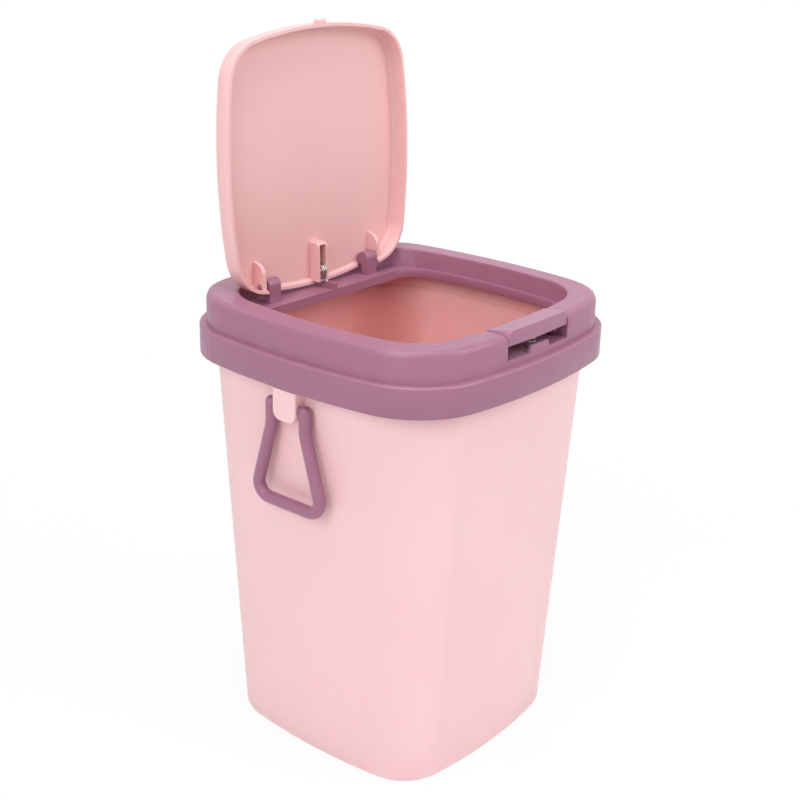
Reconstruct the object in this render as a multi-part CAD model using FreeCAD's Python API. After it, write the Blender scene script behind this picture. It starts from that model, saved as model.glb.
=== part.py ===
import FreeCAD
import Part
import math
import os

V = FreeCAD.Vector

# Driving sizes in millimetres. The bin stands on z = 0 with the button at -Y, the hinge at +Y
# and the two handles at -X and +X. The first three drive the whole bin, and every other place
# is taken from them. A plan outline is (half width, half depth, corner radius, bow of the X
# sides, bow of the Y sides).
HALF_WIDTH = 110.0
HALF_DEPTH = 112.8
TOP_Z = 303.4

COLLAR_CORNER = 52.7
COLLAR_BOW_X = 3.7
COLLAR_BOW_Y = 4.4
COLLAR = (HALF_WIDTH, HALF_DEPTH, COLLAR_CORNER, COLLAR_BOW_X, COLLAR_BOW_Y)
BAND_HEIGHT = 19.6
SHOULDER_Z = TOP_Z - BAND_HEIGHT
SKIRT_HEIGHT = 19.3
SKIRT_Z = SHOULDER_Z - SKIRT_HEIGHT
COLLAR_WALL = 2.0
BAND_INSET = 4.64
TOP_ROUND = 4.0
EDGE_ROUND = 1.2
ROUND_BAND = 2.0

BODY_INSET_X = 8.95
BODY_INSET_Y = 10.35
BODY_CORNER = 48.35
BODY_BOW_X = 3.35
BODY_BOW_Y = 3.75
BODY = (HALF_WIDTH - BODY_INSET_X, HALF_DEPTH - BODY_INSET_Y, BODY_CORNER, BODY_BOW_X, BODY_BOW_Y)
BODY_TAPER = 15.3
BODY_WALL = 2.2
BODY_FLOOR = 5.0
FOOT_WIDTH = 7.0
FOOT_HEIGHT = 2.4
BASE_ROUND = 4.0
STEP_RISE = 7.5
STEP_Z = SKIRT_Z + STEP_RISE
STEP_DEPTH = 0.9
RIM_GAP = 0.5
RIM_Z = SHOULDER_Z - COLLAR_WALL
RIM_DROP = 9.0

RECESS_INSET_X = 21.5
RECESS_INSET_Y = 23.2
RECESS_CORNER = 36.0
RECESS = (HALF_WIDTH - RECESS_INSET_X, HALF_DEPTH - RECESS_INSET_Y, RECESS_CORNER, COLLAR_BOW_X, COLLAR_BOW_Y)
RECESS_Y = -1.6
LEDGE_DROP = 12.5
LEDGE_Z = TOP_Z - LEDGE_DROP
LEDGE_WIDTH = 4.0
LIP_DROP = 5.9
LIP_Z = LEDGE_Z - LIP_DROP

HINGE_INSET = 40.8
HINGE_Y = HALF_DEPTH - HINGE_INSET
HINGE_DROP = 1.4
HINGE_Z = TOP_Z - HINGE_DROP
LID_OPEN = 91.9
POST_INSET = 67.5
POST_X = HALF_WIDTH - POST_INSET
POST_WIDTH = 10.0
POST_R = 4.6
POST_BACK = 0.6
PIN_R = 2.2
PIN_LENGTH = 5.4
PIN_CLEAR = 0.05
SIDE_GAP = 0.5
NOTCH_GAP = 0.8
STRIP_REACH = 11.8
STRIP_Y = HINGE_Y - STRIP_REACH
STRIP_CORNER = 18.0

LID_FRONT_Y = RECESS_INSET_Y - HALF_DEPTH
LID_REAR = 9.0
LID_BACK_Y = HINGE_Y + LID_REAR
LID_INSET = 24.8
LID_CORNER = 27.6
LID_BOW_X = 3.9
LID_BOW_Y = 5.4
LID = (HALF_WIDTH - LID_INSET, 0.5 * (LID_BACK_Y - LID_FRONT_Y), LID_CORNER, LID_BOW_X, LID_BOW_Y)
LID_Y = 0.5 * (LID_BACK_Y + LID_FRONT_Y)
LID_RIM_DROP = 5.6
LID_DEPTH = 12.8
LID_WALL = 2.0
LID_ROUND = 4.0
LID_LIP = 2.0
EAR_WIDTH = 3.0
EAR_GAP = 1.6
EAR_DROP = 3.4
EAR_REACH = 16.0
TAB_WIDTH = 9.2
TAB_REACH = 2.8
TAB_THICK = 2.0
CHANNEL_REACH = 19.5
CHANNEL_DROP = 2.8
CHANNEL_RIB = 1.4
CHANNEL_ROUND = 3.0

COIL_R = 4.2
COIL_WIRE = 0.9
COIL_PITCH = 1.56
COIL_TURNS = 3
WIRE_SIDES = 6
COIL_LEG = 15.0
COIL_SIDE = 0.3
STUB_R = 2.75
STUB_LENGTH = 1.7
CATCH_WIDTH = 1.1
CATCH_HEIGHT = 4.2
STOP_GAP = 0.4

SLOT_X = 31.2
SLOT_DROP = 15.1
SLOT_Z = TOP_Z - SLOT_DROP
POCKET_WALL = 4.0
POCKET_FLOOR = 2.0
POCKET_BACK = 1.5
POCKET_BACK_DROP = 8.0
POCKET_BACK_Z = TOP_Z - POCKET_BACK_DROP
TONGUE_RISE = 4.3
TONGUE_Z = SLOT_Z + TONGUE_RISE
TONGUE_TOP_X = 8.5
TONGUE_BASE_X = 10.7

BUTTON_GAP = 0.5
BUTTON_WALL = 2.0
BUTTON_SIDE = 0.8
BUTTON_X = SLOT_X - BUTTON_SIDE
BUTTON_TAPER = 4.8
BUTTON_CREST_X = BUTTON_X - BUTTON_TAPER
BUTTON_DROP = 6.4
BUTTON_Z = TOP_Z - BUTTON_DROP
BUTTON_RISE = 2.9
BUTTON_CREST_Z = TOP_Z + BUTTON_RISE
BUTTON_KNEE = 6.5
BUTTON_BACK_DROP = 0.2
BUTTON_BACK_Z = TOP_Z - BUTTON_BACK_DROP
LATCH_DROP = 4.6
BUTTON_BACK_LOW_Z = TOP_Z - LATCH_DROP
BUTTON_REACH = 4.0
PIVOT_INSET = 16.3
PIVOT_Y = PIVOT_INSET - HALF_DEPTH
PIVOT_RISE = 3.7
PIVOT_Z = SLOT_Z + PIVOT_RISE
PIVOT_R = 2.0
LEG_THICK = 2.8
LEG_R = 3.2

RETURN_REACH = 5.3
RETURN_Y = PIVOT_Y - RETURN_REACH
RETURN_R = 2.3
RETURN_WIRE = 0.7
RETURN_RISE = 1.0
RETURN_TOP_Z = BUTTON_Z + RETURN_RISE
RETURN_COILS = 4
SPIGOT_R = 1.5
SPIGOT_LENGTH = 1.8
SEAT_GAP = 0.1

HANDLE_R = 4.0
HANDLE_SIDES = 8
HANDLE_INSET = 4.7
HANDLE_X = HALF_WIDTH - HANDLE_INSET
HANDLE_DROP = 12.2
HANDLE_Z = SKIRT_Z - HANDLE_DROP
HANDLE_TIP = 1.6
HANDLE_DOME = 2.1
HANDLE_Y = 14.0
HANDLE_NECK = 14.3
HANDLE_KNEE_Z = HANDLE_Z - HANDLE_NECK
HANDLE_FOOT_Y = 28.8
HANDLE_LENGTH = 64.7
HANDLE_FOOT_Z = HANDLE_Z - HANDLE_LENGTH
HANDLE_KNEE_R = 22.0
HANDLE_CORNER_R = 9.0
STUB_PIN_R = 2.5
STUB_PIN_DEPTH = 6.5
LUG_REACH = 4.4
LUG_X = HANDLE_X + LUG_REACH
LUG_ROOT = 7.7
LUG_BACK_X = HANDLE_X - LUG_ROOT
LUG_Y = 9.5
LUG_DROP = 8.7
LUG_Z = HANDLE_Z - LUG_DROP
LUG_ROUND = 6.0
LUG_EDGE = 0.7


def inset(plan, d):
    return (plan[0] - d, plan[1] - d, plan[2] - d, plan[3], plan[4])


def outline(plan, z, y_mid=0.0):
    """Closed wire of eight tangent arcs: four bowed sides and four round corners."""
    half_x, half_y, r, bow_x, bow_y = plan
    cx = half_x - r - bow_x
    cy = half_y - r - bow_y
    rx = (cy * cy + bow_x * bow_x) / (2.0 * bow_x)
    ry = (cx * cx + bow_y * bow_y) / (2.0 * bow_y)
    tx = math.asin(cy / rx)
    ty = math.asin(cx / ry)
    quarter = math.pi / 2.0
    arcs = []
    for turn in range(4):
        start = turn * quarter
        if turn % 2 == 0:
            side = (cx + bow_x - rx, rx + r, tx)
            corner_to = quarter - ty
            corner = (cx, cy)
        else:
            side = (cy + bow_y - ry, ry + r, ty)
            corner_to = quarter - tx
            corner = (cy, cx)
        arcs.append((start, side[0], 0.0, side[1], -side[2], side[2]))
        arcs.append((start, corner[0], corner[1], r, side[2], corner_to))
    edges = []
    for start, u, v, rad, a0, a1 in arcs:
        pts = []
        for ang in (a0, 0.5 * (a0 + a1), a1):
            pu = u + rad * math.cos(ang)
            pv = v + rad * math.sin(ang)
            px = pu * math.cos(start) - pv * math.sin(start)
            py = pu * math.sin(start) + pv * math.cos(start)
            pts.append(V(px, py + y_mid, z))
        edges.append(Part.Arc(pts[0], pts[1], pts[2]).toShape())
    return Part.Wire(edges)


def prism(plan, z0, z1, y_mid=0.0):
    face = Part.Face(outline(plan, z0, y_mid))
    return face.extrude(V(0, 0, z1 - z0))


def box(x0, x1, y0, y1, z0, z1):
    return Part.makeBox(x1 - x0, y1 - y0, z1 - z0, V(x0, y0, z0))


def rod(start, direction, radius, length):
    return Part.makeCylinder(radius, length, start, direction)


def slab(points, direction):
    """Prism on a closed outline of points; a triple in the list is an arc through its middle point."""
    edges = []
    for item in points:
        if len(item) == 3:
            edges.append(Part.Arc(item[0], item[1], item[2]).toShape())
        else:
            edges.append(Part.makeLine(item[0], item[1]))
    return Part.Face(Part.Wire(edges)).extrude(direction)


def bands(z0, z1, radius):
    """Heights and insets that climb from z0 to z1 and round the upper edge in ruled bands."""
    steps = [(z0, 0.0)]
    count = int(math.ceil(radius / ROUND_BAND))
    for i in range(count + 1):
        turn = 0.5 * math.pi * i / count
        steps.append((z1 - radius * (1.0 - math.sin(turn)), radius * (1.0 - math.cos(turn))))
    return steps


def pillow(plan, z0, z1, radius, y_mid=0.0):
    """Prism on a plan outline with its upper edge rounded."""
    wires = [outline(inset(plan, d), z, y_mid) for z, d in bands(z0, z1, radius)]
    return Part.makeLoft(wires, True, True)


def flare(plan, z1, radius, y_mid=0.0):
    """Cutter that rounds the edge where a recess on the plan outline meets the face at z1."""
    wires = [outline(plan, z1 - radius, y_mid)]
    wires.append(outline(inset(plan, -0.3 * radius), z1 - 0.3 * radius, y_mid))
    wires.append(outline(inset(plan, -radius), z1, y_mid))
    return Part.makeLoft(wires, True, True)


def body_plan(z, d):
    """Body outline at height z, set in by d: each wall leans in evenly from the skirt to the base."""
    return inset(BODY, BODY_TAPER * (1.0 - z / SKIRT_Z) + d)


def body_stack(levels):
    """Loft through body outlines, each level being a height and an inset."""
    wires = [outline(body_plan(z, d), z) for z, d in levels]
    return Part.makeLoft(wires, True, True)


def make_lug(side):
    """Handle lug: a tongue on the wall with round lower corners and a blind hole in each cheek."""
    q = LUG_ROUND * (1.0 - math.sqrt(0.5))
    x = side * LUG_BACK_X
    top = SKIRT_Z - SIDE_GAP
    low = LUG_Z + LUG_ROUND
    near = LUG_Y - LUG_ROUND
    pts = [
        (V(x, LUG_Y, top), V(x, LUG_Y, low)),
        (V(x, LUG_Y, low), V(x, LUG_Y - q, LUG_Z + q), V(x, near, LUG_Z)),
        (V(x, near, LUG_Z), V(x, -near, LUG_Z)),
        (V(x, -near, LUG_Z), V(x, q - LUG_Y, LUG_Z + q), V(x, -LUG_Y, low)),
        (V(x, -LUG_Y, low), V(x, -LUG_Y, top)),
        (V(x, -LUG_Y, top), V(x, LUG_Y, top)),
    ]
    lug = slab(pts, V(side * (LUG_X - LUG_BACK_X), 0, 0))
    front = []
    for edge in lug.Edges:
        bb = edge.BoundBox
        if abs(abs(bb.XMin) - LUG_X) < 1e-4 and abs(abs(bb.XMax) - LUG_X) < 1e-4 and bb.ZMin < top - 1.0:
            front.append(edge)
    lug = lug.makeChamfer(LUG_EDGE, front)
    for cheek in (-1, 1):
        mouth = V(side * HANDLE_X, cheek * (LUG_Y + 1.0), HANDLE_Z)
        depth = STUB_PIN_DEPTH + 1.5
        lug = lug.cut(rod(mouth, V(0, -cheek, 0), STUB_PIN_R + PIN_CLEAR, depth))
    return lug


def make_bucket():
    """Tapered bin body: drafted wall, foot rim, inner step, rolled rim and two lugs."""
    foot_edge = [(BASE_ROUND - z, d) for z, d in bands(0.0, BASE_ROUND, BASE_ROUND)]
    foot_edge.reverse()
    body = body_stack(foot_edge[:-1] + [(RIM_Z, 0.0)])
    rim_plan = inset(COLLAR, COLLAR_WALL + RIM_GAP)
    body = body.fuse(prism(rim_plan, RIM_Z - BODY_WALL, RIM_Z))
    turn_down = prism(rim_plan, RIM_Z - RIM_DROP, RIM_Z)
    turn_down = turn_down.cut(prism(inset(rim_plan, BODY_WALL), RIM_Z - RIM_DROP - 1, RIM_Z))
    body = body.fuse(turn_down)
    for side in (-1, 1):
        body = body.fuse(make_lug(side))
    floor_edge = [(BODY_FLOOR, BODY_WALL + 0.5 * BASE_ROUND), (BODY_FLOOR + 0.5 * BASE_ROUND, BODY_WALL)]
    hollow = body_stack(floor_edge + [(STEP_Z, BODY_WALL)])
    upper = BODY_WALL - STEP_DEPTH
    hollow = hollow.fuse(body_stack([(STEP_Z, upper), (RIM_Z + 1.0, upper)]))
    body = body.cut(hollow)
    foot = prism(body_plan(0.0, FOOT_WIDTH), -1.0, FOOT_HEIGHT)
    return body.cut(foot).removeSplitter()


def side_circle(plan):
    """Centre along X and radius of the bowed side of a plan outline at +X."""
    half_x, half_y, r, bow_x, bow_y = plan
    cy = half_y - r - bow_y
    rx = (cy * cy + bow_x * bow_x) / (2.0 * bow_x)
    return half_x - r - rx, rx + r


def make_strip(d):
    """Rear shelf of the mouth set in by d: a straight front edge with a round corner into each side."""
    side_x, side_r = side_circle(inset(RECESS, LEDGE_WIDTH))
    cy = STRIP_Y - STRIP_CORNER
    cx = side_x + math.sqrt((side_r - STRIP_CORNER) ** 2 - (cy - RECESS_Y) ** 2)
    low = math.atan2(cy - RECESS_Y, cx - side_x)
    middle = 0.5 * (low + 0.5 * math.pi)
    r = STRIP_CORNER + d
    far_x = RECESS[0]
    far_y = RECESS[1] + RECESS_Y
    near_y = cy + r * math.sin(low)
    rows = []
    for s in (1, -1):
        a = V(s * cx, STRIP_Y + d, LIP_Z)
        m = V(s * (cx + r * math.cos(middle)), cy + r * math.sin(middle), LIP_Z)
        b = V(s * (cx + r * math.cos(low)), near_y, LIP_Z)
        rows.append((a, m, b, V(s * far_x, near_y, LIP_Z), V(s * far_x, far_y, LIP_Z)))
    right, left = rows
    return slab([
        (right[0], right[1], right[2]),
        (right[2], right[3]),
        (right[3], right[4]),
        (right[4], left[4]),
        (left[4], left[3]),
        (left[3], left[2]),
        (left[2], left[1], left[0]),
        (left[0], right[0]),
    ], V(0, 0, LEDGE_Z - LIP_Z))


def make_collar():
    """Bin rim: hollow skirt and band, recess and ledge, front pocket, rear shelf and hinge posts."""
    band_plan = inset(COLLAR, BAND_INSET)
    skirt = pillow(COLLAR, SKIRT_Z, SHOULDER_Z, EDGE_ROUND)
    band = pillow(band_plan, RIM_Z, TOP_Z, TOP_ROUND)
    shell = skirt.fuse(band)

    mouth_plan = inset(RECESS, LEDGE_WIDTH)
    mouth = prism(mouth_plan, SKIRT_Z - 1, LEDGE_Z + 1, RECESS_Y)
    bay = prism(inset(RECESS, -COLLAR_WALL), LEDGE_Z - COLLAR_WALL, TOP_Z + 1, RECESS_Y)
    lip = prism(inset(mouth_plan, -COLLAR_WALL), LIP_Z, LEDGE_Z, RECESS_Y)
    pocket_x = SLOT_X + POCKET_WALL
    pocket = box(-pocket_x, pocket_x, -COLLAR[1], RECESS_Y, SLOT_Z - POCKET_FLOOR, TOP_Z + 1)

    hollow = prism(inset(COLLAR, COLLAR_WALL), SKIRT_Z - 1, RIM_Z)
    hollow = hollow.fuse(prism(inset(band_plan, COLLAR_WALL), RIM_Z - 1, TOP_Z - COLLAR_WALL))
    for solid in (bay, lip, pocket):
        hollow = hollow.cut(solid)
    shelf = make_strip(0.0).cut(make_strip(COLLAR_WALL).translated(V(0, 0, -COLLAR_WALL)))
    shelf = shelf.common(prism(RECESS, LIP_Z, TOP_Z, RECESS_Y))
    collar = shell.cut(hollow)
    collar = collar.cut(mouth)
    collar = collar.fuse(shelf)
    collar = collar.cut(prism(RECESS, LEDGE_Z, TOP_Z + 1, RECESS_Y))
    collar = collar.cut(flare(RECESS, TOP_Z, EDGE_ROUND, RECESS_Y))

    recess_front = RECESS_Y - RECESS[1]
    pocket_back = recess_front - POCKET_BACK
    collar = collar.cut(box(-SLOT_X, SLOT_X, -COLLAR[1], pocket_back, SLOT_Z, TOP_Z + 1))
    collar = collar.cut(box(-SLOT_X, SLOT_X, pocket_back - 1.0, recess_front + 2.0, POCKET_BACK_Z, TOP_Z + 1))
    tongue = slab([
        (V(-TONGUE_BASE_X, -COLLAR[1], SLOT_Z), V(TONGUE_BASE_X, -COLLAR[1], SLOT_Z)),
        (V(TONGUE_BASE_X, -COLLAR[1], SLOT_Z), V(TONGUE_TOP_X, -COLLAR[1], TONGUE_Z)),
        (V(TONGUE_TOP_X, -COLLAR[1], TONGUE_Z), V(-TONGUE_TOP_X, -COLLAR[1], TONGUE_Z)),
        (V(-TONGUE_TOP_X, -COLLAR[1], TONGUE_Z), V(-TONGUE_BASE_X, -COLLAR[1], SLOT_Z)),
    ], V(0, COLLAR[1], 0))
    band_ring = prism(band_plan, LIP_Z, TOP_Z).cut(prism(inset(band_plan, COLLAR_WALL), LIP_Z, TOP_Z))
    collar = collar.fuse(tongue.common(band_ring))
    spigot = rod(V(0, RETURN_Y, SLOT_Z - 1.0), V(0, 0, 1), SPIGOT_R, SPIGOT_LENGTH + 1.0)
    collar = collar.fuse(spigot)
    for side in (-1, 1):
        start = V(side * (SLOT_X - 1.0), PIVOT_Y, PIVOT_Z)
        collar = collar.cut(rod(start, V(side, 0, 0), PIVOT_R + PIN_CLEAR, POCKET_WALL - 0.2))
        collar = collar.fuse(make_post(side))
    collar = collar.fuse(make_catch())
    return collar.removeSplitter()


def make_post(side):
    """Hinge post with a round head and a snap pin that points outward."""
    x0 = side * POST_X
    foot = LEDGE_Z - 1.0
    block = box(min(x0, x0 + side * POST_WIDTH), max(x0, x0 + side * POST_WIDTH),
                HINGE_Y - POST_R, HINGE_Y + POST_BACK, foot, HINGE_Z)
    head = rod(V(x0, HINGE_Y, HINGE_Z), V(side, 0, 0), POST_R, POST_WIDTH)
    post = block.fuse(head)
    tip = V(x0 + side * (POST_WIDTH - 1.0), HINGE_Y, HINGE_Z)
    length = PIN_LENGTH + 1.0
    post = post.fuse(rod(tip, V(side, 0, 0), PIN_R, length - 0.8))
    end = V(tip.x + side * (length - 0.8), HINGE_Y, HINGE_Z)
    return post.fuse(Part.makeCone(PIN_R, PIN_R - 0.8, 0.8, end, V(side, 0, 0)))


def coil_angle():
    return COIL_TURNS * 2.0 * math.pi + leg_departure()


def coil_shift(u):
    """Way along the axis at turn angle u: even in the middle, and level where each leg leaves."""
    ease = 0.5 * math.pi
    wound = coil_angle()
    rate = COIL_PITCH / (2.0 * math.pi)
    if u < ease:
        return 0.5 * rate * u * u / ease
    if u > wound - ease:
        return rate * (wound - ease - 0.5 * (wound - u) ** 2 / ease)
    return rate * (u - 0.5 * ease)


def coil_slope(u):
    rate = COIL_PITCH / (2.0 * math.pi)
    return rate * max(0.0, min(1.0, u / (0.5 * math.pi), (coil_angle() - u) / (0.5 * math.pi)))


def coil_half():
    return 0.5 * coil_shift(coil_angle())


def leg_end():
    """Resting point of the collar leg on the shelf, seen from the hinge axis."""
    y = STRIP_Y + CATCH_WIDTH + 1.0 - HINGE_Y
    z = LEDGE_Z + 0.5 * COIL_WIRE + COIL_SIDE - HINGE_Z
    return y, z


def leg_departure():
    """Angle below the axis at which the collar leg leaves the coil on its tangent."""
    y, z = leg_end()
    reach = math.hypot(y, z)
    return -math.atan2(z, y) - math.acos(COIL_R / reach)


def make_catch():
    """Two cheeks and an end wall on the shelf that hold the collar leg; its back stops the open lid."""
    x = coil_half()
    room = 0.5 * COIL_WIRE + COIL_SIDE
    y0 = STRIP_Y
    y1 = HINGE_Y - CHANNEL_DROP - SIDE_GAP - STOP_GAP
    top = LEDGE_Z + CATCH_HEIGHT
    block = box(x - room - CATCH_WIDTH, x + room + CATCH_WIDTH, y0, y1, LEDGE_Z - 1.0, top)
    return block.cut(box(x - room, x + room, y0 + CATCH_WIDTH, y1 + 1.0, LEDGE_Z, top + 1.0))


def make_lid():
    """Lid in its shut place: skirted plate, latch tab, hinge ears and spring channel."""
    rim = HINGE_Z - LID_RIM_DROP
    top = rim + LID_DEPTH
    ceiling = top - LID_WALL
    outer = pillow(LID, rim, top, LID_ROUND, LID_Y)
    inner = pillow(inset(LID, LID_WALL), rim - 1.0, ceiling, LID_ROUND - LID_WALL, LID_Y)
    lid = outer.cut(inner)
    front = LID_Y - LID[1]
    half_tab = 0.5 * TAB_WIDTH
    tab = slab([
        (V(-half_tab, front + 1.0, rim), V(-half_tab, front - TAB_REACH + 0.8, rim)),
        (V(-half_tab, front - TAB_REACH + 0.8, rim), V(-half_tab, front - TAB_REACH, rim + 0.8)),
        (V(-half_tab, front - TAB_REACH, rim + 0.8), V(-half_tab, front - TAB_REACH, rim + TAB_THICK)),
        (V(-half_tab, front - TAB_REACH, rim + TAB_THICK), V(-half_tab, front + 1.0, rim + TAB_THICK)),
        (V(-half_tab, front + 1.0, rim + TAB_THICK), V(-half_tab, front + 1.0, rim)),
    ], V(TAB_WIDTH, 0, 0))
    lid = lid.fuse(tab)
    fittings = []
    for side in (-1, 1):
        fittings.append(make_ear(side, ceiling))
    fittings.append(make_channel(ceiling))
    inside = prism(inset(LID, 0.5 * LID_WALL), rim, top - 0.5 * LID_WALL, LID_Y)
    for solid in fittings:
        lid = lid.fuse(solid.common(inside))
    ear_x = POST_X + POST_WIDTH + EAR_GAP
    rear_wall = prism(LID, rim - 1.0, ceiling - LID_LIP, LID_Y)
    rear_wall = rear_wall.cut(prism(inset(LID, LID_WALL), rim - 1.0, ceiling, LID_Y))
    lid = lid.cut(rear_wall.common(box(-ear_x, ear_x, HINGE_Y, HINGE_Y + LID[1], rim - 1.0, ceiling)))
    slot = channel_slot()
    gaps = [(-slot, slot)]
    for side in (-1, 1):
        ends = (side * (POST_X - NOTCH_GAP), side * (POST_X + POST_WIDTH + EAR_GAP))
        gaps.append((min(ends), max(ends)))
        hole = V(side * (POST_X + POST_WIDTH), HINGE_Y, HINGE_Z)
        lid = lid.cut(rod(hole, V(side, 0, 0), PIN_R + PIN_CLEAR, PIN_LENGTH + SIDE_GAP))
    for x0, x1 in gaps:
        lid = lid.cut(box(x0, x1, HINGE_Y, HINGE_Y + LID[1], rim - 1.0, ceiling))
    lid = lid.removeSplitter()
    lid.rotate(V(0, HINGE_Y, HINGE_Z), V(1, 0, 0), -LID_OPEN)
    return lid


def make_ear(side, ceiling):
    """Hinge ear: a plate under the lid with a round nose and a bored eye."""
    x = side * (POST_X + POST_WIDTH + EAR_GAP)
    low = HINGE_Z - EAR_DROP
    nose = 0.5 * (ceiling - low)
    tip = HINGE_Y - EAR_REACH
    back = HINGE_Y + LID[1]
    q = nose * math.sqrt(0.5)
    pts = [
        (V(x, back, low), V(x, tip + 2 * nose, low)),
        (V(x, tip + 2 * nose, low), V(x, tip + 2 * nose - 2 * q, ceiling - 2 * q), V(x, tip, ceiling)),
        (V(x, tip, ceiling), V(x, tip, ceiling + 1.0)),
        (V(x, tip, ceiling + 1.0), V(x, back, ceiling + 1.0)),
        (V(x, back, ceiling + 1.0), V(x, back, low)),
    ]
    return slab(pts, V(side * EAR_WIDTH, 0, 0))


def channel_slot():
    """Half the width between the channel's ribs: the coil, its wire and the side room."""
    return coil_half() + 0.5 * COIL_WIRE + COIL_SIDE


def make_channel(ceiling):
    """Spring channel: two ribs joined at the front, with a stub on each rib inside the coil."""
    slot = channel_slot()
    wide = slot + CHANNEL_RIB
    low = HINGE_Z - CHANNEL_DROP
    front = HINGE_Y - CHANNEL_REACH
    back = HINGE_Y + LID[1]
    ribs = box(-wide, wide, front, back, low, ceiling + 1.0)
    nose = ribs.Edges
    lower = []
    for edge in nose:
        bb = edge.BoundBox
        if abs(bb.ZMax - low) < 1e-4 and abs(bb.YMax - front) < 1e-4:
            lower.append(edge)
    ribs = ribs.makeFillet(CHANNEL_ROUND, lower)
    ribs = ribs.cut(box(-slot, slot, front + CHANNEL_RIB, back + 1.0, low - 1.0, ceiling))
    for side in (-1, 1):
        stub_root = V(side * wide, HINGE_Y, HINGE_Z)
        ribs = ribs.fuse(rod(stub_root, V(-side, 0, 0), STUB_R, CHANNEL_RIB + STUB_LENGTH))
    return ribs


def biarc(p0, t0, p1, t1):
    """Two tangent arcs that leave p0 along t0 and reach p1 along t1."""
    v = p1 - p0
    t = t0 + t1
    k = 2.0 * (1.0 - t0.dot(t1))
    vt = v.dot(t)
    if k > 1e-9:
        d = (-vt + math.sqrt(vt * vt + k * v.dot(v))) / k
    else:
        d = v.dot(v) / (2.0 * vt)
    q0 = p0 + t0 * d
    q1 = p1 - t1 * d
    joint = (q0 + q1) * 0.5
    edges = []
    for a, q, b in ((p0, q0, joint), (joint, q1, p1)):
        chord = (a + b) * 0.5
        rise = q - chord
        if rise.Length < 1e-7:
            edges.append(Part.makeLine(a, b))
            continue
        half = 0.5 * (b - a).Length
        side = (q - a).Length
        sag = half * half / rise.Length * (side / half - 1.0)
        rise.normalize()
        edges.append(Part.Arc(a, chord + rise * sag, b).toShape())
    return edges


def helix_edges(point, tangent, a0, a1, step):
    """Biarcs along a helix given by its point and tangent functions."""
    count = int(math.ceil(abs(a1 - a0) / step))
    edges = []
    for i in range(count):
        u = a0 + (a1 - a0) * i / count
        w = a0 + (a1 - a0) * (i + 1) / count
        edges.extend(biarc(point(u), tangent(u), point(w), tangent(w)))
    return edges


def wire_tube(edges, radius, sides):
    """Bar of many-sided section swept along the edges as one unbroken solid."""
    path = Part.Wire(edges)
    start = edges[0].valueAt(edges[0].FirstParameter)
    heading = edges[0].tangentAt(edges[0].FirstParameter)
    ring = Part.makeCircle(radius, start, heading).discretize(sides + 1)
    return path.makePipeShell([Part.makePolygon(ring)], True, False)


def self_gap(edges, radius, skip):
    """Least space between two lengths of the wire that are more than skip apart along it."""
    pts = []
    along = []
    total = 0.0
    for edge in edges:
        n = max(2, int(edge.Length / 0.4))
        for i in range(n):
            u = edge.FirstParameter + (edge.LastParameter - edge.FirstParameter) * i / n
            pts.append(edge.valueAt(u))
            along.append(total + edge.Length * i / n)
        total = total + edge.Length
    least = 1e9
    for i in range(len(pts)):
        for j in range(i + 1, len(pts)):
            if along[j] - along[i] > skip:
                least = min(least, (pts[i] - pts[j]).Length)
    return least - 2.0 * radius


def make_lid_spring():
    """Torsion spring on the hinge axis: lid leg up the channel, coils, collar leg down to the catch."""
    wound = coil_angle()
    half = coil_half()

    def point(u):
        y = HINGE_Y + COIL_R * math.cos(u)
        return V(coil_shift(u) - half, y, HINGE_Z - COIL_R * math.sin(u))

    def tangent(u):
        t = V(coil_slope(u), -COIL_R * math.sin(u), -COIL_R * math.cos(u))
        t.normalize()
        return t

    edges = []
    lead = tangent(0.0)
    edges.append(Part.makeLine(point(0.0) - lead * COIL_LEG, point(0.0)))
    edges.extend(helix_edges(point, tangent, 0.0, wound, math.pi / 2.0))
    y, z = leg_end()
    leave = math.sqrt(y * y + z * z - COIL_R * COIL_R)
    edges.append(Part.makeLine(point(wound), point(wound) + tangent(wound) * leave))
    gap = self_gap(edges, 0.5 * COIL_WIRE, 0.75 * math.pi * COIL_R)
    print("lid_spring least gap to itself %.2f mm" % gap)
    return wire_tube(edges, 0.5 * COIL_WIRE, WIRE_SIDES)


def make_button_spring():
    """Compression spring that stands between the pocket floor and the boss under the button."""
    z0 = SLOT_Z + SEAT_GAP + 0.5 * RETURN_WIRE
    z1 = RETURN_TOP_Z - SEAT_GAP - 0.5 * RETURN_WIRE
    wound = RETURN_COILS * 2.0 * math.pi
    rise = (z1 - z0) / wound

    def point(u):
        return V(RETURN_R * math.cos(u), RETURN_Y + RETURN_R * math.sin(u), z0 + rise * u)

    def tangent(u):
        t = V(-RETURN_R * math.sin(u), RETURN_R * math.cos(u), rise)
        t.normalize()
        return t

    edges = helix_edges(point, tangent, 0.0, wound, math.pi / 2.0)
    gap = self_gap(edges, 0.5 * RETURN_WIRE, math.pi * RETURN_R)
    print("button_spring least gap to itself %.2f mm" % gap)
    return wire_tube(edges, 0.5 * RETURN_WIRE, WIRE_SIDES)


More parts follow.
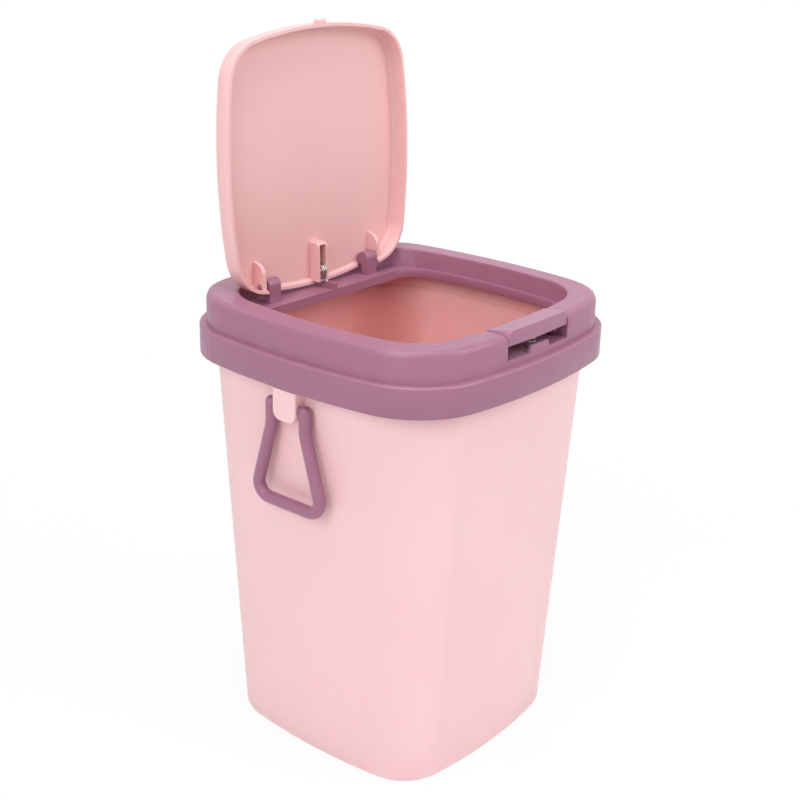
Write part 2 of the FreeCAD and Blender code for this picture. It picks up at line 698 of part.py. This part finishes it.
def button_body(d, low):
    """Button envelope set in by d: bowed front and back, sloping top and tapered ends."""
    crest = BUTTON_CREST_Z - d
    back = BUTTON_BACK_Z - d
    y0 = -COLLAR[1]
    y1 = RECESS_Y - RECESS[1] + BUTTON_REACH
    crest_y = -COLLAR[1] + BAND_INSET + BUTTON_GAP
    side = slab([
        (V(-SLOT_X, y0, low), V(-SLOT_X, y1, low)),
        (V(-SLOT_X, y1, low), V(-SLOT_X, y1, back)),
        (V(-SLOT_X, y1, back), V(-SLOT_X, crest_y, crest)),
        (V(-SLOT_X, crest_y, crest), V(-SLOT_X, y0, crest)),
        (V(-SLOT_X, y0, crest), V(-SLOT_X, y0, low)),
    ], V(2 * SLOT_X, 0, 0))
    wide = BUTTON_X - d
    crown = BUTTON_CREST_X - d
    knee = BUTTON_CREST_Z - BUTTON_KNEE
    bow_x = crown + 0.72 * (wide - crown)
    bow_z = knee + 0.72 * (crest - knee)
    ends = slab([
        (V(-wide, y0, low), V(wide, y0, low)),
        (V(wide, y0, low), V(wide, y0, knee)),
        (V(wide, y0, knee), V(bow_x, y0, bow_z), V(crown, y0, crest)),
        (V(crown, y0, crest), V(-crown, y0, crest)),
        (V(-crown, y0, crest), V(-bow_x, y0, bow_z), V(-wide, y0, knee)),
        (V(-wide, y0, knee), V(-wide, y0, low)),
    ], V(0, y1 - y0, 0))
    plan = prism(inset(COLLAR, BAND_INSET + BUTTON_GAP + d), low, crest)
    plan = plan.cut(prism(inset(RECESS, -d), low - 1.0, crest + 1.0, RECESS_Y))
    return side.common(ends).common(plan)


def make_button():
    """Rocker button: hollow cap with a latch wall at the back, two legs with trunnions, spring boss."""
    cap = button_body(0.0, BUTTON_Z)
    cap = cap.cut(button_body(BUTTON_WALL, BUTTON_Z - 1.0))
    under = box(-SLOT_X, SLOT_X, RECESS_Y - RECESS[1] - BUTTON_WALL - 0.1, 0, 0, BUTTON_BACK_LOW_Z)
    cap = cap.cut(under)
    roof = BUTTON_CREST_Z - BUTTON_WALL
    boss = rod(V(0, RETURN_Y, RETURN_TOP_Z), V(0, 0, 1), RETURN_R + RETURN_WIRE, roof - RETURN_TOP_Z)
    boss = boss.fuse(rod(V(0, RETURN_Y, RETURN_TOP_Z - SPIGOT_LENGTH), V(0, 0, 1), SPIGOT_R, SPIGOT_LENGTH))
    cap = cap.fuse(boss)
    for side in (-1, 1):
        x0 = side * (BUTTON_X - LEG_THICK)
        leg = box(min(x0, side * BUTTON_X), max(x0, side * BUTTON_X),
                  PIVOT_Y - LEG_R, PIVOT_Y + LEG_R, PIVOT_Z, BUTTON_Z + 2.0)
        leg = leg.fuse(rod(V(x0, PIVOT_Y, PIVOT_Z), V(side, 0, 0), LEG_R, LEG_THICK))
        reach = LEG_THICK + SLOT_X - BUTTON_X + POCKET_WALL - 1.6
        cap = cap.fuse(leg)
        cap = cap.fuse(rod(V(x0, PIVOT_Y, PIVOT_Z), V(side, 0, 0), PIVOT_R, reach))
    return cap.removeSplitter()


def rounded_path(points, radii):
    """Line and arc edges along points in the YZ plane, with a round corner at each inner point."""
    edges = []
    last = points[0]
    for i in range(1, len(points) - 1):
        p = points[i]
        a = points[i - 1] - p
        b = points[i + 1] - p
        a.normalize()
        b.normalize()
        half = 0.5 * a.getAngle(b)
        cut = radii[i - 1] / math.tan(half)
        bis = a + b
        bis.normalize()
        start = p + a * cut
        end = p + b * cut
        mid = p + bis * (radii[i - 1] / math.sin(half) - radii[i - 1])
        edges.append(Part.makeLine(last, start))
        edges.append(Part.Arc(start, mid, end).toShape())
        last = end
    edges.append(Part.makeLine(last, points[-1]))
    return edges


def make_handle(side):
    """Bail handle: one round bar bent to a flared loop, with a stub at each end for the lug."""
    x = side * HANDLE_X
    pts = [
        V(x, HANDLE_Y, HANDLE_Z + HANDLE_TIP),
        V(x, HANDLE_Y, HANDLE_KNEE_Z),
        V(x, HANDLE_FOOT_Y, HANDLE_FOOT_Z),
        V(x, -HANDLE_FOOT_Y, HANDLE_FOOT_Z),
        V(x, -HANDLE_Y, HANDLE_KNEE_Z),
        V(x, -HANDLE_Y, HANDLE_Z + HANDLE_TIP),
    ]
    radii = [HANDLE_KNEE_R, HANDLE_CORNER_R, HANDLE_CORNER_R, HANDLE_KNEE_R]
    bar = wire_tube(rounded_path(pts, radii), HANDLE_R, HANDLE_SIDES)
    for end in (-1, 1):
        eye = V(x, end * HANDLE_Y, HANDLE_Z)
        dome = eye + V(0, 0, HANDLE_TIP)
        bar = bar.fuse(Part.makeCone(0.92 * HANDLE_R, 0.6 * HANDLE_R, HANDLE_DOME, dome, V(0, 0, 1)))
        length = HANDLE_Y - LUG_Y + STUB_PIN_DEPTH
        bar = bar.fuse(rod(eye, V(0, -end, 0), STUB_PIN_R, length))
    return bar.removeSplitter()


os.makedirs("parts", exist_ok=True)
make_bucket().exportStep("parts/bucket.step")
make_collar().exportStep("parts/collar.step")
make_lid().exportStep("parts/lid.step")
make_button().exportStep("parts/push_button.step")
make_lid_spring().exportStep("parts/lid_spring.step")
make_button_spring().exportStep("parts/button_spring.step")
make_handle(-1).exportStep("parts/handle_left.step")
make_handle(1).exportStep("parts/handle_right.step")
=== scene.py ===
import math

import bmesh
import bpy
from mathutils import Matrix, Vector


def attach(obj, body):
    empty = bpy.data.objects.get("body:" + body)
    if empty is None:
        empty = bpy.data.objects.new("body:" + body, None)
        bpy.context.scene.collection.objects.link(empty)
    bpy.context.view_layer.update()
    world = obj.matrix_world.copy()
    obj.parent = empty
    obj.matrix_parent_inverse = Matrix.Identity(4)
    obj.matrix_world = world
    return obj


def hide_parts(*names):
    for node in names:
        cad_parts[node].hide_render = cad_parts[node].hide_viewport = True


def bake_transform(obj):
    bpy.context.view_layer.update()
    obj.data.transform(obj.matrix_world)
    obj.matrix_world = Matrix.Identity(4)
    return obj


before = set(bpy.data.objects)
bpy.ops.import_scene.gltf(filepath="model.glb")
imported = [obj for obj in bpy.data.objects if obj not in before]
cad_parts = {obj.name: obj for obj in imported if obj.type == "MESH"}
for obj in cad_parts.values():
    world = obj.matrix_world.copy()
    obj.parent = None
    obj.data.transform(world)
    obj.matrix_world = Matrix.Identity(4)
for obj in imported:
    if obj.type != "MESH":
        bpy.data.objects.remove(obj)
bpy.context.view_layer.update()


# Bucket: the tapered tub that holds the waste, one polypropylene moulding with its rim turned down.
# The mould was spark-eroded to a fine satin. The floor keeps the ring of the gate and the rings
# of two ejector pins.
def open_group(name, inputs, outputs):
    """Starts a shader group with its named sockets and gives it back with its two ends."""
    group = bpy.data.node_groups.new(name, "ShaderNodeTree")
    for label, kind in inputs:
        group.interface.new_socket(label, in_out="INPUT", socket_type=kind)
    for label in outputs:
        group.interface.new_socket(label, in_out="OUTPUT", socket_type="NodeSocketFloat")
    return group, group.nodes.new("NodeGroupInput"), group.nodes.new("NodeGroupOutput")


def work_out(tree, operation, *values):
    """Adds one sum, fed by sockets or plain numbers, and gives back its result."""
    step = tree.nodes.new("ShaderNodeMath")
    step.operation = operation
    for slot, value in zip(step.inputs, values):
        if isinstance(value, float):
            slot.default_value = value
        else:
            tree.links.new(value, slot)
    return step.outputs["Value"]


def run_between(tree, value, start, end, low=0.0, high=1.0, smooth=False):
    """Maps a socket's run from start to end on to low and high, held level outside it."""
    run = tree.nodes.new("ShaderNodeMapRange")
    if smooth:
        run.interpolation_type = "SMOOTHSTEP"
    run.inputs["From Min"].default_value = start
    run.inputs["From Max"].default_value = end
    run.inputs["To Min"].default_value = low
    run.inputs["To Max"].default_value = high
    tree.links.new(value, run.inputs["Value"])
    return run.outputs["Result"]


def speckle(tree, place, detail, per_metre):
    """Noise with a number of grains to the metre, which may itself come from a socket."""
    noise = tree.nodes.new("ShaderNodeTexNoise")
    noise.inputs["Detail"].default_value = detail
    tree.links.new(place, noise.inputs["Vector"])
    if isinstance(per_metre, float):
        noise.inputs["Scale"].default_value = per_metre
    else:
        tree.links.new(per_metre, noise.inputs["Scale"])
    return noise.outputs["Fac"]


def two_tones(tree, value, start, end, deep_tone, light_tone):
    """Colours a socket's run from start to end from the deep tone to the light one."""
    ramp = tree.nodes.new("ShaderNodeValToRGB")
    deep_stop, light_stop = ramp.color_ramp.elements
    deep_stop.position, light_stop.position = start, end
    deep_stop.color, light_stop.color = (*deep_tone, 1.0), (*light_tone, 1.0)
    tree.links.new(value, ramp.inputs["Fac"])
    return ramp.outputs["Color"]


def relief(tree, height, strength, depth):
    """Turns a height into a bumped normal."""
    bump = tree.nodes.new("ShaderNodeBump")
    bump.inputs["Strength"].default_value = strength
    bump.inputs["Distance"].default_value = depth
    tree.links.new(height, bump.inputs["Height"])
    return bump.outputs["Normal"]


def moulded_skin_group():
    """Cloudy tone, gloss drawn out along the flow of the melt, and the grain of the mould."""
    clouds_per_metre, cloud_detail = 11.0, 3.0
    flow_per_metre, flow_detail, flow_stretch = 90.0, 2.0, (1.0, 1.0, 0.22)
    grain_detail, flow_in_grain = 2.0, 0.35
    group, entry, leave = open_group(
        "moulded_skin",
        (("Place", "NodeSocketVector"), ("Grain Per Metre", "NodeSocketFloat")),
        ("Tone", "Sheen Change", "Grain Height"))
    links = group.links
    place = entry.outputs["Place"]
    links.new(speckle(group, place, cloud_detail, clouds_per_metre), leave.inputs["Tone"])
    drawn = group.nodes.new("ShaderNodeMapping")
    drawn.inputs["Scale"].default_value = flow_stretch
    links.new(place, drawn.inputs["Vector"])
    flow = speckle(group, drawn.outputs["Vector"], flow_detail, flow_per_metre)
    links.new(flow, leave.inputs["Sheen Change"])
    grain = speckle(group, place, grain_detail, entry.outputs["Grain Per Metre"])
    links.new(work_out(group, "MULTIPLY_ADD", flow, flow_in_grain, grain), leave.inputs["Grain Height"])
    return group


def pin_ring_group():
    """Thin raised ring at a radius round a centre, as an ejector pin or a gate leaves."""
    line_half, line_edge = 0.0002, 0.0009
    group, entry, leave = open_group(
        "pin_ring",
        (("Place", "NodeSocketVector"), ("Centre", "NodeSocketVector"), ("Radius", "NodeSocketFloat")),
        ("Ring",))
    reach = group.nodes.new("ShaderNodeVectorMath")
    reach.operation = "DISTANCE"
    group.links.new(entry.outputs["Place"], reach.inputs[0])
    group.links.new(entry.outputs["Centre"], reach.inputs[1])
    off = work_out(group, "SUBTRACT", reach.outputs["Value"], entry.outputs["Radius"])
    line = run_between(group, work_out(group, "ABSOLUTE", off), line_half, line_edge, 1.0, 0.0, True)
    group.links.new(line, leave.inputs["Ring"])
    return group


def painted_inside_mask_group():
    """Mask of the faces that look in towards the upright axis or up from the floor of the tub, which
    take the painted inside tone.
    """
    wall_full, wall_none = -0.03, -0.01
    floor_none, floor_full = 0.5, 0.8
    group, entry, leave = open_group(
        "painted_inside_mask", (("Place", "NodeSocketVector"), ("Facing", "NodeSocketVector")), ("Inside",))
    links = group.links
    level = group.nodes.new("ShaderNodeVectorMath")
    level.operation = "MULTIPLY"
    level.inputs[1].default_value = (1.0, 1.0, 0.0)
    links.new(entry.outputs["Place"], level.inputs[0])
    outward = group.nodes.new("ShaderNodeVectorMath")
    outward.operation = "DOT_PRODUCT"
    links.new(level.outputs["Vector"], outward.inputs[0])
    links.new(entry.outputs["Facing"], outward.inputs[1])
    wall = run_between(group, outward.outputs["Value"], wall_full, wall_none, 1.0, 0.0)
    split = group.nodes.new("ShaderNodeSeparateXYZ")
    links.new(entry.outputs["Facing"], split.inputs["Vector"])
    floor_top = run_between(group, split.outputs["Z"], floor_none, floor_full)
    links.new(work_out(group, "MAXIMUM", wall, floor_top), leave.inputs["Inside"])
    return group


moulded_skin = moulded_skin_group()
pin_ring = pin_ring_group()
painted_inside_mask = painted_inside_mask_group()


def moulded_plastic(name, light_tone, deep_tone, gloss, grain_per_metre,
                    pins=(), painted_inside_tone=None, glow=0.0):
    """Satin polypropylene: two near tones, a flow in its gloss, fine grain and the rings of its pins,
    with a painted tone for the light and shade inside a hollow where one is given.
    """
    noise_low, noise_high = 0.3, 0.7
    pin_height = 3.0
    grain_strength, grain_depth = 0.5, 0.00008
    plastic = bpy.data.materials.new(name)
    plastic.use_nodes = True
    tree = plastic.node_tree
    nodes, links = tree.nodes, tree.links
    shader = nodes["Principled BSDF"]
    place = nodes.new("ShaderNodeTexCoord")
    skin = nodes.new("ShaderNodeGroup")
    skin.node_tree = moulded_skin
    skin.inputs["Grain Per Metre"].default_value = grain_per_metre
    links.new(place.outputs["Object"], skin.inputs["Place"])

    colour = two_tones(tree, skin.outputs["Tone"], noise_low, noise_high, deep_tone, light_tone)
    # Painted light and shade: faces inside the hollow take a redder tone that stands in for the light
    # shining through the walls and the shade within.
    if painted_inside_tone:
        hollow = nodes.new("ShaderNodeGroup")
        hollow.node_tree = painted_inside_mask
        links.new(place.outputs["Object"], hollow.inputs["Place"])
        links.new(place.outputs["Normal"], hollow.inputs["Facing"])
        inner = nodes.new("ShaderNodeMix")
        inner.data_type = "RGBA"
        inner.inputs[7].default_value = (*painted_inside_tone, 1.0)
        links.new(hollow.outputs["Inside"], inner.inputs[0])
        links.new(colour, inner.inputs[6])
        colour = inner.outputs[2]
    links.new(colour, shader.inputs["Base Color"])
    smooth, rough = gloss
    roughness = run_between(tree, skin.outputs["Sheen Change"], noise_low, noise_high, smooth, rough)
    links.new(roughness, shader.inputs["Roughness"])

    height = skin.outputs["Grain Height"]
    for centre, radius in pins:
        ring = nodes.new("ShaderNodeGroup")
        ring.node_tree = pin_ring
        ring.inputs["Centre"].default_value = centre
        ring.inputs["Radius"].default_value = radius
        links.new(place.outputs["Object"], ring.inputs["Place"])
        height = work_out(tree, "MULTIPLY_ADD", ring.outputs["Ring"], pin_height, height)
    links.new(relief(tree, height, grain_strength, grain_depth), shader.inputs["Normal"])
    shader.inputs["IOR"].default_value = 1.49
    shader.inputs["Subsurface Weight"].default_value = glow
    shader.inputs["Subsurface Radius"].default_value = (1.0, 0.16, 0.14)
    shader.inputs["Subsurface Scale"].default_value = 0.005
    return plastic


def dress_moulding(node_name, plastic, edge_width):
    """Gives a packed moulding its plastic, welds its facets and rolls every real edge over a little."""
    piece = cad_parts[node_name]
    piece.data.materials.clear()
    piece.data.materials.append(plastic)
    weld = piece.modifiers.new("weld", "WELD")
    weld.merge_threshold = 0.00001
    roll = piece.modifiers.new("roll", "BEVEL")
    roll.width = edge_width
    roll.segments = 2
    roll.limit_method = "ANGLE"
    roll.angle_limit = math.radians(38.0)
    roll.use_clamp_overlap = True
    roll.harden_normals = True


blush_light = (0.920, 0.610, 0.630)
blush_deep = (0.905, 0.590, 0.612)
# Painted light and shade: the tub's inside is painted a redder tone for the light that shines through
# its walls and the shade within it.
tub_painted_inside = (1.0, 0.56, 0.54)
tub_glow = 0.3
tub_gloss = (0.36, 0.48)
blush_grain = 2600.0
tub_floor = 0.005
tub_pins = [((0.0, 0.0, tub_floor), 0.006),
            ((-0.045, 0.0, tub_floor), 0.004),
            ((0.045, 0.0, tub_floor), 0.004)]
tub_edge = 0.0004
tub_plastic = moulded_plastic("blush_tub_plastic", blush_light, blush_deep, tub_gloss, blush_grain,
                              tub_pins, tub_painted_inside, tub_glow)
dress_moulding("bucket", tub_plastic, tub_edge)


# Handles: a bail on each side, a round polypropylene bar moulded in one loop that flares to its foot.
# Each end is domed and has a stub pin that snaps into the lug under the rim, so the loop swings up
# to carry.
handle_x, handle_bar = 0.1053, 0.004
eye_y, eye_z = 0.014, 0.2523
knee_z, knee_bend = 0.238, 0.022
foot_y, foot_z, foot_bend = 0.0288, 0.1876, 0.009
stub_radius, stub_reach = 0.0025, 0.011
bar_sides, stub_sides = 28, 24
knee_steps, foot_steps = 6, 16
bar_seam = 0.00001
bar_crease = math.radians(40.0)
along_y = Matrix.Rotation(math.radians(90.0), 4, "X")

mauve_light = (0.350, 0.146, 0.229)
mauve_deep = (0.334, 0.137, 0.217)
bar_gloss = (0.30, 0.40)
bar_grain = 3000.0
mauve_bar = moulded_plastic("mauve_bar_plastic", mauve_light, mauve_deep, bar_gloss, bar_grain)


def carry_ring(bm, ring, move):
    """Runs an open ring of edges straight on by move and gives back its new ring."""
    made = bmesh.ops.extrude_edge_only(bm, edges=ring)["geom"]
    bmesh.ops.translate(bm, verts=[v for v in made if isinstance(v, bmesh.types.BMVert)], vec=move)
    return [e for e in made if isinstance(e, bmesh.types.BMEdge) and not e.is_wire and e.is_boundary]


def turn_ring(bm, ring, centre, axis, angle, steps, climb=(0.0, 0.0, 0.0)):
    """Swings an open ring of edges round an axis, climbing by climb at each step."""
    verts = list({v for e in ring for v in e.verts})
    made = bmesh.ops.spin(bm, geom=verts + ring, cent=centre, axis=axis, dvec=climb,
                          angle=angle, steps=steps, use_duplicate=False, use_merge=False)
    return [e for e in made["geom_last"] if isinstance(e, bmesh.types.BMEdge)]


def close_bar(bm, name, crease, material):
    """Caps the open ends of a bar, turns its faces outward and makes it a smooth piece."""
    bmesh.ops.holes_fill(bm, edges=[e for e in bm.edges if e.is_boundary], sides=0)
    bmesh.ops.recalc_face_normals(bm, faces=bm.faces[:])
    for face in bm.faces:
        face.smooth = True
    mesh = bpy.data.meshes.new(name)
    bm.to_mesh(mesh)
    bm.free()
    mesh.set_sharp_from_angle(angle=crease)
    mesh.materials.append(material)
    piece = bpy.data.objects.new(name, mesh)
    bpy.context.scene.collection.objects.link(piece)
    return piece


def bail_handle(name, side):
    """Half a loop from the domed eye to the middle of the foot, with its stub, then mirrored."""
    bm = bmesh.new()
    x = side * handle_x
    splay = math.atan2(foot_y - eye_y, knee_z - foot_z)
    knee_run = knee_bend * math.tan(0.5 * splay)
    foot_turn = 0.5 * math.pi + splay
    foot_run = foot_bend * math.tan(0.5 * foot_turn)
    leg = math.hypot(foot_y - eye_y, knee_z - foot_z) - knee_run - foot_run
    knee_start = knee_z + knee_run
    bmesh.ops.create_uvsphere(bm, u_segments=bar_sides, v_segments=bar_sides // 2, radius=handle_bar,
                              matrix=Matrix.Translation((x, eye_y, eye_z)))
    bmesh.ops.bisect_plane(bm, geom=bm.verts[:] + bm.edges[:] + bm.faces[:],
                           plane_co=(x, eye_y, eye_z), plane_no=(0.0, 0.0, 1.0), clear_inner=True)
    ring = carry_ring(bm, [e for e in bm.edges if e.is_boundary], (0.0, 0.0, knee_start - eye_z))
    ring = turn_ring(bm, ring, (x, eye_y + knee_bend, knee_start), (1.0, 0.0, 0.0), splay, knee_steps)
    ring = carry_ring(bm, ring, (0.0, leg * math.sin(splay), -leg * math.cos(splay)))
    ring = turn_ring(bm, ring, (x, foot_y - foot_run, foot_z + foot_bend), (-1.0, 0.0, 0.0),
                     foot_turn, foot_steps)
    carry_ring(bm, ring, (0.0, foot_run - foot_y, 0.0))
    stub_mid = (x, eye_y - 0.5 * stub_reach, eye_z)
    bmesh.ops.create_cone(bm, cap_ends=True, segments=stub_sides, radius1=stub_radius,
                          radius2=stub_radius, depth=stub_reach,
                          matrix=Matrix.Translation(stub_mid) @ along_y)
    bmesh.ops.mirror(bm, geom=bm.verts[:] + bm.edges[:] + bm.faces[:], axis="Y", merge_dist=bar_seam)
    bmesh.ops.remove_doubles(bm, verts=bm.verts[:], dist=bar_seam)
    return close_bar(bm, name, bar_crease, mauve_bar)


left_bail = bail_handle("bail_left", -1.0)
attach(left_bail, "left_handle")
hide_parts("handle_left")
right_bail = bail_handle("bail_right", 1.0)
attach(right_bail, "right_handle")
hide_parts("handle_right")


# Rim: the mauve collar that drops over the tub and pinches the bag, with ledge, pocket and posts.
# One polypropylene moulding with a satin skin, a touch glossier than the tub's.
rim_gloss = (0.32, 0.42)
rim_grain = 2800.0
rim_edge = 0.0004
rim_plastic = moulded_plastic("mauve_rim_plastic", mauve_light, mauve_deep, rim_gloss, rim_grain)
dress_moulding("collar", rim_plastic, rim_edge)


# Button spring: a small compression coil of drawn steel that stands on a spigot in the pocket floor.
# It is wound from 0.7 mm wire and pushes the front of the button up.
def drawn_wire(name, bright, dull):
    """Spring steel: fine streaks in its tone, a tight gloss and a faint relief."""
    streaks_per_metre, streak_detail = 1800.0, 4.0
    streak_low, streak_high = 0.32, 0.68
    smooth, rough = 0.22, 0.42
    streak_strength, streak_depth = 0.3, 0.00002
    wire = bpy.data.materials.new(name)
    wire.use_nodes = True
    tree = wire.node_tree
    steel = tree.nodes["Principled BSDF"]
    steel.inputs["Metallic"].default_value = 1.0
    place = tree.nodes.new("ShaderNodeTexCoord")
    streak = speckle(tree, place.outputs["Object"], streak_detail, streaks_per_metre)
    colour = two_tones(tree, streak, streak_low, streak_high, dull, bright)
    tree.links.new(colour, steel.inputs["Base Color"])
    tree.links.new(run_between(tree, streak, 0.0, 1.0, smooth, rough), steel.inputs["Roughness"])
    tree.links.new(relief(tree, streak, streak_strength, streak_depth), steel.inputs["Normal"])
    return wire


steel_bright = (0.56, 0.55, 0.53)
steel_dull = (0.40, 0.39, 0.38)
spring_steel = drawn_wire("drawn_spring_steel", steel_bright, steel_dull)
wire_crease = math.radians(50.0)
return_y, return_radius, return_wire = -0.1018, 0.0023, 0.00035
return_low, return_high, return_coils = 0.28875, 0.29755, 4
return_sides, return_turn_steps = 12, 32

bm = bmesh.new()
wire_start = Matrix.Translation((return_radius, return_y, return_low)) @ along_y
bmesh.ops.create_circle(bm, segments=return_sides, radius=return_wire, matrix=wire_start)
return_steps = return_turn_steps * return_coils
return_climb = (0.0, 0.0, (return_high - return_low) / return_steps)
turn_ring(bm, bm.edges[:], (0.0, return_y, return_low), (0.0, 0.0, 1.0),
          return_coils * math.tau, return_steps, return_climb)
return_spring = close_bar(bm, "return_coil", wire_crease, spring_steel)
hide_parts("button_spring")
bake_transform(return_spring)


# Push button: a hollow rocker cap that sits in the front pocket on two trunnions and holds the lid's
# tab. Same mauve polypropylene as the rim but smoother, painted a shade paler as a painted highlight.
button_painted_pale = (0.366, 0.156, 0.241)
button_gloss = (0.28, 0.36)
button_grain = 3000.0
button_edge = 0.0004
button_plastic = moulded_plastic("mauve_button_plastic", button_painted_pale, mauve_light,
                                 button_gloss, button_grain)
dress_moulding("push_button", button_plastic, button_edge)


# Lid spring: a torsion coil of 0.9 mm spring wire round the hinge axis that throws the lid open.
# One leg runs up the channel in the lid and the other down to the catch on the rim.
hinge_y, hinge_z = 0.072, 0.302
coil_radius, coil_wire, coil_sides = 0.0042, 0.00045, 14
coil_half, coil_pitch = 0.0022757, 0.00156
coil_turns, coil_leave = 3.0, 1.0527
coil_ease = 0.5 * math.pi
ease_steps, even_steps = 10, 112
lid_leg, rim_leg = 0.015, 0.013548

coil_angle = coil_turns * math.tau + coil_leave
even_angle = coil_angle - 2.0 * coil_ease
ease_climb = (0.5 * coil_pitch * coil_ease / math.tau / ease_steps, 0.0, 0.0)
even_climb = (coil_pitch * even_angle / math.tau / even_steps, 0.0, 0.0)
coil_axis = (-1.0, 0.0, 0.0)
coil_mid = Vector((0.0, hinge_y, hinge_z))
leg_top = (-coil_half, hinge_y + coil_radius, hinge_z + lid_leg)

bm = bmesh.new()
bmesh.ops.create_circle(bm, segments=coil_sides, radius=coil_wire, matrix=Matrix.Translation(leg_top))
ring = carry_ring(bm, bm.edges[:], (0.0, 0.0, -lid_leg))
ring = turn_ring(bm, ring, coil_mid, coil_axis, coil_ease, ease_steps, ease_climb)
ring = turn_ring(bm, ring, coil_mid, coil_axis, even_angle, even_steps, even_climb)
ring = turn_ring(bm, ring, coil_mid, coil_axis, coil_ease, ease_steps, ease_climb)
carry_ring(bm, ring, (0.0, -rim_leg * math.sin(coil_angle), -rim_leg * math.cos(coil_angle)))
torsion_spring = close_bar(bm, "torsion_coil", wire_crease, spring_steel)
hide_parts("lid_spring")
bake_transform(torsion_spring)


# Lid: a shallow square cap with a skirt, hinge ears and a spring channel, a warmer blush than the tub.
# Polypropylene again, snapped on to the pins of the posts. Its inside keeps the faint rings of the
# ejector pins near the edges.
lid_light = (0.865, 0.525, 0.520)
lid_deep = (0.850, 0.505, 0.503)
lid_gloss = (0.32, 0.42)
lid_face_y, lid_pin_radius = 0.0772, 0.0022
lid_pin_places = ((-0.0467, 0.4567), (0.0235, 0.4565), (0.0734, 0.3124), (0.0790, 0.3940))
lid_pins = [((pin_x, lid_face_y, pin_z), lid_pin_radius) for pin_x, pin_z in lid_pin_places]
lid_edge = 0.0003
lid_plastic = moulded_plastic("blush_lid_plastic", lid_light, lid_deep, lid_gloss, blush_grain, lid_pins)
dress_moulding("lid", lid_plastic, lid_edge)


# Studio: a white floor under soft round lamps from above, the left, the front and, weaker, behind.
# The camera stands where the photographer's did, a little above the rim and turned to the front left.
def seen_directly(tree):
    """One for rays from the lens, from gloss and through glass, and nothing for the others."""
    path = tree.nodes.new("ShaderNodeLightPath")
    seen = work_out(tree, "MAXIMUM", path.outputs["Is Camera Ray"], path.outputs["Is Glossy Ray"])
    return work_out(tree, "MAXIMUM", seen, path.outputs["Is Transmission Ray"])


def backdrop_white(name, shade, near_glow, shadow_reach, white_reach):
    """Matt white that takes the shadow near the object and reads as paper white further out."""
    paper = bpy.data.materials.new(name)
    paper.use_nodes = True
    tree = paper.node_tree
    nodes, links = tree.nodes, tree.links
    nodes.clear()
    matt = nodes.new("ShaderNodeBsdfDiffuse")
    matt.inputs["Color"].default_value = (shade, shade, shade, 1.0)
    glow = nodes.new("ShaderNodeEmission")
    glow.inputs["Strength"].default_value = 1.0
    place = nodes.new("ShaderNodeTexCoord")
    reach = nodes.new("ShaderNodeVectorMath")
    reach.operation = "LENGTH"
    links.new(place.outputs["Object"], reach.inputs[0])
    fade = run_between(tree, reach.outputs["Value"], shadow_reach, white_reach, near_glow, 1.0, True)
    mix = nodes.new("ShaderNodeMixShader")
    links.new(work_out(tree, "MULTIPLY", seen_directly(tree), fade), mix.inputs["Fac"])
    links.new(matt.outputs["BSDF"], mix.inputs[1])
    links.new(glow.outputs["Emission"], mix.inputs[2])
    out = nodes.new("ShaderNodeOutputMaterial")
    links.new(mix.outputs["Shader"], out.inputs["Surface"])
    return paper


floor_half = 6.0
bm = bmesh.new()
bmesh.ops.create_grid(bm, x_segments=1, y_segments=1, size=floor_half)
floor_mesh = bpy.data.meshes.new("floor")
bm.to_mesh(floor_mesh)
bm.free()
floor_mesh.materials.append(backdrop_white("floor_white", shade=0.9, near_glow=0.9,
                                           shadow_reach=0.2, white_reach=0.6))
floor = bpy.data.objects.new("floor", floor_mesh)
bpy.context.scene.collection.objects.link(floor)

room_level, white_level = 0.35, 1.0
world = bpy.data.worlds.new("studio")
world.use_nodes = True
bpy.context.scene.world = world
air = world.node_tree
room = air.nodes["Background"]
room.inputs["Color"].default_value = (1.0, 1.0, 1.0, 1.0)
room_light = run_between(air, seen_directly(air), 0.0, 1.0, room_level, white_level)
air.links.new(room_light, room.inputs["Strength"])


def soft_lamp(name, place, target, size, watts, mirrored=True):
    """Round area lamp turned to a target. One that isn't mirrored lifts the shade without a shine."""
    lamp = bpy.data.lights.new(name, "AREA")
    lamp.shape = "DISK"
    lamp.size = size
    lamp.energy = watts
    holder = bpy.data.objects.new(name, lamp)
    holder.location = place
    holder.visible_glossy = mirrored
    holder.rotation_euler = (Vector(target) - Vector(place)).to_track_quat("-Z", "Y").to_euler()
    bpy.context.scene.collection.objects.link(holder)


rim_height, tub_middle = (0.0, 0.0, 0.25), (0.0, 0.0, 0.2)
soft_lamp("top_lamp", place=(-0.2, -0.1, 1.9), target=rim_height, size=1.1, watts=15.0)
soft_lamp("key_lamp", place=(-1.7, -0.35, 1.3), target=tub_middle, size=1.4, watts=17.5)
soft_lamp("fill_lamp", place=(0.6, -1.6, 1.4), target=tub_middle, size=1.3, watts=17.0)
soft_lamp("back_lamp", place=(1.0, 1.4, 0.7), target=rim_height, size=1.3, watts=8.0, mirrored=False)

photo_side, focal_pixels = 800.0, 1421.58
lens = bpy.data.cameras.new("photo_lens")
lens.sensor_width = 36.0
lens.lens = focal_pixels / photo_side * lens.sensor_width
lens.shift_x, lens.shift_y = -0.00009, -0.0035
lens.clip_start, lens.clip_end = 0.05, 50.0
camera_place = (-0.6778, -0.5598, 0.5623)
camera_right = Vector((0.64287, -0.76567, 0.02155))
camera_up = Vector((0.25831, 0.24320, 0.93495))
camera_back = Vector((-0.7211, -0.5955, 0.3541))
camera_turn = Matrix((camera_right, camera_up, camera_back)).transposed().to_4x4()
camera = bpy.data.objects.new("photo_camera", lens)
camera.matrix_world = Matrix.Translation(camera_place) @ camera_turn
bpy.context.scene.collection.objects.link(camera)
bpy.context.scene.camera = camera
bpy.context.scene.view_settings.view_transform = "Standard"
